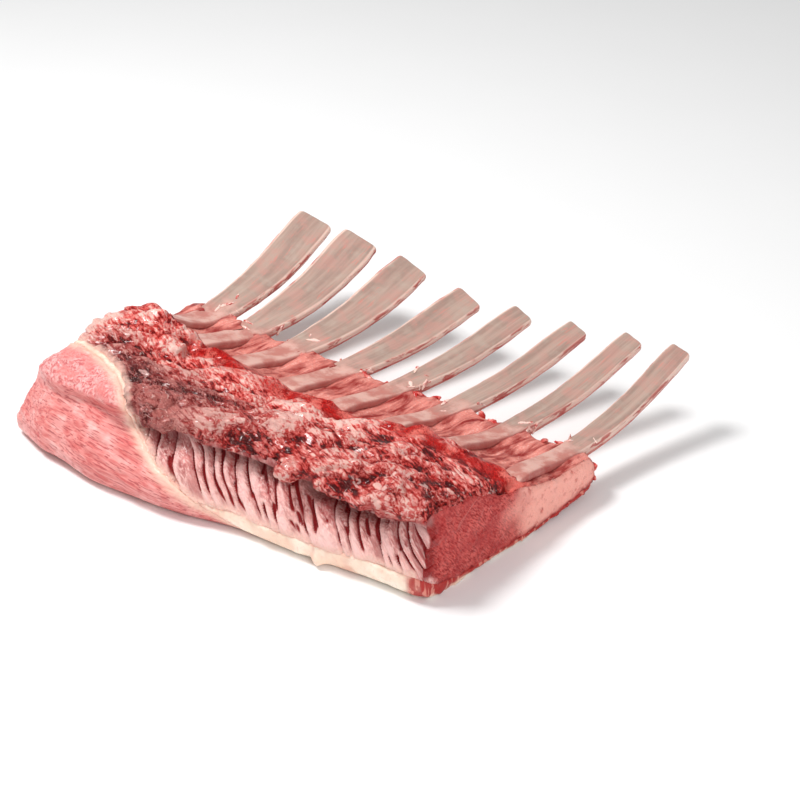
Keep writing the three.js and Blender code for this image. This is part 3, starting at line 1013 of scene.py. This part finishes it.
def rib_skeleton(node, number):
    """The rings of one rib: middles, half widths and half thicknesses as vectors, how far each
    stands along the rib, and how far it closes over the tip."""
    reading = RibReading(node)
    rows = reading.stations()
    share = np.linspace(0, 1, len(rows))
    fits = [np.polynomial.Polynomial.fit(share, column, 7) for column in rows.T]
    line, (tilt, half_width, half_thickness) = fits[:3], fits[3:]
    middles = np.stack([fit(share) for fit in line], axis=1)
    headings = unit(np.stack([fit.deriv()(share) for fit in line], axis=1))
    before, after = reading.ends(middles, headings)
    length = np.linalg.norm(np.diff(middles, axis=0), axis=1).sum()
    first = before / length
    last = 1 + after / length
    body = np.linspace(first, last - TIP_LENGTH * MM / length, RIB_RINGS)
    tip, tip_width, tip_thickness = np.array(TIP_RINGS).T
    places = np.concatenate([body, last - tip * MM / length])
    width = np.concatenate([np.ones(RIB_RINGS), tip_width])
    thickness = np.concatenate([np.ones(RIB_RINGS), tip_thickness])
    closing = 1 - width
    width[0] = thickness[0] = 0.6
    inside = np.clip(places, 0, 1)
    middle = np.stack([fit(inside) for fit in line], axis=1)
    heading = unit(np.stack([fit.deriv()(inside) for fit in line], axis=1))
    middle += heading * ((places - inside) * length)[:, None]
    angle = tilt(inside)
    side = np.stack([np.cos(angle), np.zeros_like(angle), np.sin(angle)], axis=1)
    side = unit(side - heading * (side * heading).sum(axis=1)[:, None])
    up = np.cross(side, heading)
    wobble = 1 + 0.012 * np.sin(places * 19 + number * 2.1) + 0.008 * np.sin(places * 47 + number)
    width *= (1 + along(TIP_FLARE, number) * ease(0.25, 1.0, places)) * wobble
    middle += side * (along(TIP_ASIDE, number) * MM * ease(0.35, 1.0, places))[:, None]
    middle += up * (along(ROOT_RISE, number) * MM * ease(0.45, 0.1, places))[:, None]
    across = side * (half_width(inside) * width)[:, None]
    lift = up * (half_thickness(inside) * thickness)[:, None]
    return middle, across, lift, places * length, closing


def rib_tree(material):
    """A tree that sweeps a flat bone section along every line of a mesh."""
    tree = bpy.data.node_groups.new("Rib bones", "GeometryNodeTree")
    add_inputs(
        tree,
        ("Section points", "NodeSocketInt", 36),
        ("Squareness", "NodeSocketFloat", 0.62),
        ("Groove depth", "NodeSocketFloat", 0.3),
        ("Scrape depth", "NodeSocketFloat", 0.00022),
        ("Seed", "NodeSocketInt", 7),
    )
    g = Graph(tree)
    given = g.given()
    lines = g.node("GeometryNodeMeshToCurve", None, {"Mesh": given["Geometry"]})
    ring = g.node("GeometryNodeCurvePrimitiveCircle", None, {"Resolution": given["Section points"]})
    across, over = (
        g.math("SIGN", part) * g.math("POWER", g.math("ABSOLUTE", part), given["Squareness"])
        for part in g.split(g.node("GeometryNodeInputPosition"))[:2]
    )
    # The inner face is slightly hollow.
    inner = g.math("MAXIMUM", over, 0.0)
    over = over - given["Groove depth"] * inner * (1.0 - across * across)
    section = g.node("ShaderNodeCombineXYZ", None, {0: across, 1: over})
    ring = g.store(ring, "section", "FLOAT_VECTOR", section)
    inputs = {"Curve": lines, "Profile Curve": ring, "Fill Caps": True}
    bone = g.node("GeometryNodeCurveToMesh", None, inputs)
    place = g.named("middle", "FLOAT_VECTOR")
    for name, factor in zip(("across", "lift"), g.split(g.named("section", "FLOAT_VECTOR"))):
        step = g.scaled(g.named(name, "FLOAT_VECTOR"), factor)
        place = g.node("ShaderNodeVectorMath", {"operation": "ADD"}, {0: place, 1: step})
    bone = g.node("GeometryNodeSetPosition", None, {"Geometry": bone, "Position": place})
    inputs = {0: g.node("GeometryNodeInputPosition"), 1: (1.0, 0.25, 1.0)}
    stretched = g.node("ShaderNodeVectorMath", {"operation": "MULTIPLY"}, inputs)
    bone = g.roughened(bone, stretched, 420.0, 2.0 * given["Scrape depth"], given["Seed"])
    g.finish(bone, material)
    return tree


def rib_mesh(settings, material):
    """All the ribs, swept along their middle lines."""
    columns = [rib_skeleton(node, number) for number, node in enumerate(RIBS)]
    rings = len(columns[0][0])
    middle, across, lift, station, closing = (np.concatenate(parts) for parts in zip(*columns))
    starts = [number * rings + ring for number in range(len(RIBS)) for ring in range(rings - 1)]
    mesh = bpy.data.meshes.new("rib_lines")
    mesh.from_pydata(middle.tolist(), [(start, start + 1) for start in starts], [])
    set_vectors(mesh, "middle", middle)
    set_vectors(mesh, "across", across)
    set_vectors(mesh, "lift", lift)
    number = np.repeat(np.arange(len(RIBS)), rings)
    set_attributes(mesh, station=station, closing=closing, number=number)
    holder = bpy.data.objects.new("ribs_holder", mesh)
    bpy.context.scene.collection.objects.link(holder)
    result = grown_mesh(holder, rib_tree(material), "ribs", {"Squareness": settings.bone_squareness})

    section = point_vectors(result, "section")
    station, closing, number = (point_values(result, name) for name in ("station", "closing", "number"))
    p = rack_mm(vertex_places(result))
    y = p[:, 1]
    rim = ease(0.55, 1.0, np.abs(section[:, 0]))
    band = hill(y, TAIL_END_Y + 2, 7) * ease(-0.5, 0.3, soft_noise(p, 6, 411))
    # The grain's own place on each bone: across it, along it and a separate layer for every bone.
    grain = np.stack([7 * MM * section[:, 0], station, 3 * MM * section[:, 1] + 0.1 * number], axis=1)
    set_vectors(result, "grain", grain)
    set_attributes(
        result,
        # edge: the rims, rising on the far face. The finish paints a highlight on them and pink-red
        # tissue with painted shade beyond.
        edge=rim + 0.6 * ease(0.1, -0.6, section[:, 1]),
        root=ease(TAIL_END_Y + 16, TAIL_END_Y - 20, y + 5 * soft_noise(p, 7, 401)),
        shreds=band * (0.25 + 0.75 * rim) * ease(-0.3, 0.2, section[:, 1]),
        tip=ease(0.12, 0.24, closing),
        core=1 - closing,
    )
    for name in ("middle", "across", "lift", "section", "station", "closing", "number"):
        result.attributes.remove(result.attributes[name])
    return result


# Torn scraps


# In radians.
FULL_TURN = 6.283


def scrap_tree(material):
    """A tree that scatters torn lumps over the faces of a mesh, flattened along them."""
    tree = bpy.data.node_groups.new("Torn scraps", "GeometryNodeTree")
    add_inputs(
        tree,
        ("Number per area", "NodeSocketFloat", 22000.0),
        ("Density", "NodeSocketString", "torn_edge"),
        ("Smallest", "NodeSocketFloat", 0.0006),
        ("Largest", "NodeSocketFloat", 0.0019),
        ("Length", "NodeSocketFloat", 2.6),
        ("Thickness", "NodeSocketFloat", 0.6),
        ("Roughness", "NodeSocketFloat", 0.0035),
        ("Seed", "NodeSocketInt", 3),
    )
    g = Graph(tree)
    given = g.given()
    density = given["Number per area"] * g.named(given["Density"], "FLOAT")
    inputs = {"Mesh": given["Geometry"], "Density": density, "Seed": given["Seed"]}
    points = g.node("GeometryNodeDistributePointsOnFaces", {"distribute_method": "RANDOM"}, inputs)
    facing = Value(g, points.socket.node.outputs["Rotation"])
    lump = g.node("GeometryNodeMeshIcoSphere", None, {"Radius": 1.0, "Subdivisions": 3})
    size = g.random(given["Smallest"], given["Largest"], given["Seed"])
    spin = g.random(0.0, FULL_TURN, given["Seed"] + 5.0)
    inputs = {0: size * given["Length"], 1: size, 2: size * given["Thickness"]}
    shape = g.node("ShaderNodeCombineXYZ", None, inputs)
    turn = g.node("ShaderNodeCombineXYZ", None, {2: spin})
    turned = g.node("FunctionNodeRotateRotation", {"rotation_space": "LOCAL"}, {0: facing, 1: turn})
    inputs = {"Points": points, "Instance": lump, "Rotation": turned, "Scale": shape}
    scraps = g.node("GeometryNodeInstanceOnPoints", None, inputs)
    scraps = g.node("GeometryNodeRealizeInstances", None, {"Geometry": scraps})
    place = g.node("GeometryNodeInputPosition")
    scraps = g.roughened(scraps, place, 380.0, given["Roughness"], given["Seed"])
    g.finish(scraps, material)
    return tree


def scrap_mesh(name, base, material, values):
    """Scraps over a finished piece."""
    holder = bpy.data.objects.new("scraps_holder", bpy.data.objects[base].data.copy())
    bpy.context.scene.collection.objects.link(holder)
    return grown_mesh(holder, scrap_tree(material), name, values)


# What differs for the thin pale shreds that hang on the bones.
SHREDS = {
    "Density": "shreds",
    "Number per area": 56000.0,
    "Smallest": 0.0003,
    "Largest": 0.0009,
    "Length": 4.5,
    "Thickness": 0.5,
    "Roughness": 0.0022,
    "Seed": 9,
}


class RackSettings(bpy.types.PropertyGroup):
    bone_squareness: bpy.props.FloatProperty(
        name="Bone squareness",
        description="Smaller makes the ribs' section flatter, with tighter corners",
        default=0.62,
        min=0.2,
        max=1.0,
        subtype="FACTOR",
    )
    detail: bpy.props.FloatProperty(
        name="Detail",
        description="Size of the faces of the meat and fat",
        default=0.00115,
        subtype="DISTANCE",
        unit="LENGTH",
    )
    lump_depth: bpy.props.FloatProperty(
        name="Lump depth",
        description="How rough the torn crown is",
        default=1.0,
        min=0.0,
        subtype="FACTOR",
    )
    fold_spacing: bpy.props.FloatProperty(
        name="Fold spacing",
        description="Distance between the folds of the front face, in millimetres",
        default=2.3,
    )
    slit_depth: bpy.props.FloatProperty(
        name="Slit depth",
        description="Depth of the slits between the folds, in millimetres",
        default=1.2,
    )
    fat_blend: bpy.props.FloatProperty(
        name="Fat blend",
        description="How far the fat's colour reaches over the meat, in millimetres",
        default=2.4,
    )


class RACK_OT_loin(bpy.types.Operator):
    """Make the loin meat"""

    bl_idname = "rack.make_loin"
    bl_label = "Loin meat"

    def execute(self, context):
        settings = context.scene.rack_settings
        add_piece("loin", loin_mesh(settings), loin_finish(), "red_meat", "loin_meat")
        return {"FINISHED"}


class RACK_OT_shoulder(bpy.types.Operator):
    """Make the pink shoulder muscle"""

    bl_idname = "rack.make_shoulder"
    bl_label = "Shoulder muscle"

    def execute(self, context):
        settings = context.scene.rack_settings
        finish = shoulder_finish()
        add_piece("shoulder", shoulder_mesh(settings), finish, "pink_meat", "shoulder_muscle")
        return {"FINISHED"}


class RACK_OT_fat(bpy.types.Operator):
    """Make the fat layer"""

    bl_idname = "rack.make_fat"
    bl_label = "Fat layer"

    def execute(self, context):
        settings = context.scene.rack_settings
        add_piece("fat", fat_mesh(settings), fat_finish(), "fat", "fat_layer")
        return {"FINISHED"}


class RACK_OT_ribs(bpy.types.Operator):
    """Make the scraped rib bones"""

    bl_idname = "rack.make_ribs"
    bl_label = "Rib bones"

    def execute(self, context):
        settings = context.scene.rack_settings
        finish = bone_finish()
        add_piece("ribs", rib_mesh(settings, finish), finish, "bone", *RIBS)
        return {"FINISHED"}


class RACK_OT_scraps(bpy.types.Operator):
    """Make the torn scraps where the bones were scraped"""

    bl_idname = "rack.make_scraps"
    bl_label = "Torn scraps"

    def execute(self, context):
        finish = scrap_finish("Torn scraps", 0.2)
        add_piece("scraps", scrap_mesh("scraps", "loin", finish, {}), finish, "red_meat")
        finish = scrap_finish("Pale shreds", 0.42)
        add_piece("shreds", scrap_mesh("shreds", "ribs", finish, SHREDS), finish, "pink_meat")
        return {"FINISHED"}


class RACK_OT_stage(bpy.types.Operator):
    """Make the floor, the lights and the camera"""

    bl_idname = "rack.make_stage"
    bl_label = "Stage"

    def execute(self, context):
        make_floor()
        make_lights()
        make_camera()
        return {"FINISHED"}


# Stage


FLOOR_HALF = 3.0
LIGHT_TARGET = (0.0, 0.0, 0.02)


def make_floor():
    half = FLOOR_HALF
    mesh = bpy.data.meshes.new("floor")
    corners = [(-half, -half, 0), (half, -half, 0), (half, half, 0), (-half, half, 0)]
    mesh.from_pydata(corners, [], [(0, 1, 2, 3)])
    floor = bpy.data.objects.new("floor", mesh)
    bpy.context.scene.collection.objects.link(floor)
    g = Finish("Pale floor")
    inputs = {"Base Color": linear(246, 246, 246), "Roughness": 0.6 + 0.2 * g.noise(60, 2)}
    shader = g.node("ShaderNodeBsdfPrincipled", None, inputs)
    g.node("ShaderNodeOutputMaterial", None, {"Surface": shader})
    mesh.materials.append(g.material)


def make_light(name, place, size, watts):
    """A square soft light that faces the rack."""
    light = bpy.data.lights.new(name, "AREA")
    light.energy = watts
    light.size = size
    holder = bpy.data.objects.new(name, light)
    bpy.context.scene.collection.objects.link(holder)
    holder.location = place
    holder.rotation_mode = "QUATERNION"
    holder.rotation_quaternion = (Vector(LIGHT_TARGET) - Vector(place)).to_track_quat("-Z", "Y")


def make_lights():
    world = bpy.data.worlds.new("Studio")
    bpy.context.scene.world = world
    world.use_nodes = True
    g = Graph(world.node_tree)
    sky = g.node("ShaderNodeBackground", None, {"Color": (1, 1, 1, 1), "Strength": 0.44})
    g.node("ShaderNodeOutputWorld", None, {"Surface": sky})
    make_light("key_light", (-0.38, -0.22, 0.86), 0.26, 7.6)
    make_light("side_light", (0.75, -0.45, 0.6), 0.5, 3.6)
    bpy.context.scene.view_settings.view_transform = "Standard"


def make_camera():
    azimuth, elevation = math.radians(CAMERA_AZIMUTH), math.radians(CAMERA_ELEVATION)
    level = math.cos(elevation)
    back = Vector((math.sin(azimuth) * level, -math.cos(azimuth) * level, math.sin(elevation)))
    camera = bpy.data.cameras.new("camera")
    camera.angle = math.radians(CAMERA_VIEW_ANGLE)
    holder = bpy.data.objects.new("camera", camera)
    bpy.context.scene.collection.objects.link(holder)
    holder.location = Vector(CAMERA_TARGET) + back * CAMERA_DISTANCE
    holder.rotation_mode = "QUATERNION"
    holder.rotation_quaternion = (-back).to_track_quat("-Z", "Y")
    camera.clip_start, camera.clip_end = 0.01, 20
    bpy.context.scene.camera = holder


class RACK_PT_panel(bpy.types.Panel):
    """Lists the steps and their sizes"""

    bl_idname = "RACK_PT_panel"
    bl_label = "Rack of lamb"
    bl_space_type = "VIEW_3D"
    bl_region_type = "UI"
    bl_category = "Rack of lamb"

    def draw(self, context):
        settings = context.scene.rack_settings
        for name in RackSettings.__annotations__:
            self.layout.prop(settings, name)
        for operator in OPERATORS:
            self.layout.operator(operator.bl_idname)


OPERATORS = (
    RACK_OT_loin,
    RACK_OT_shoulder,
    RACK_OT_fat,
    RACK_OT_ribs,
    RACK_OT_scraps,
    RACK_OT_stage,
)
CLASSES = (RackSettings, *OPERATORS, RACK_PT_panel)


def register():
    for item in CLASSES:
        bpy.utils.register_class(item)
    bpy.types.Scene.rack_settings = bpy.props.PointerProperty(type=RackSettings)


def unregister():
    del bpy.types.Scene.rack_settings
    for item in reversed(CLASSES):
        bpy.utils.unregister_class(item)


def main():
    register()
    for operator in OPERATORS:
        section, name = operator.bl_idname.split(".")
        getattr(getattr(bpy.ops, section), name)()


if __name__ == "__main__":
    main()
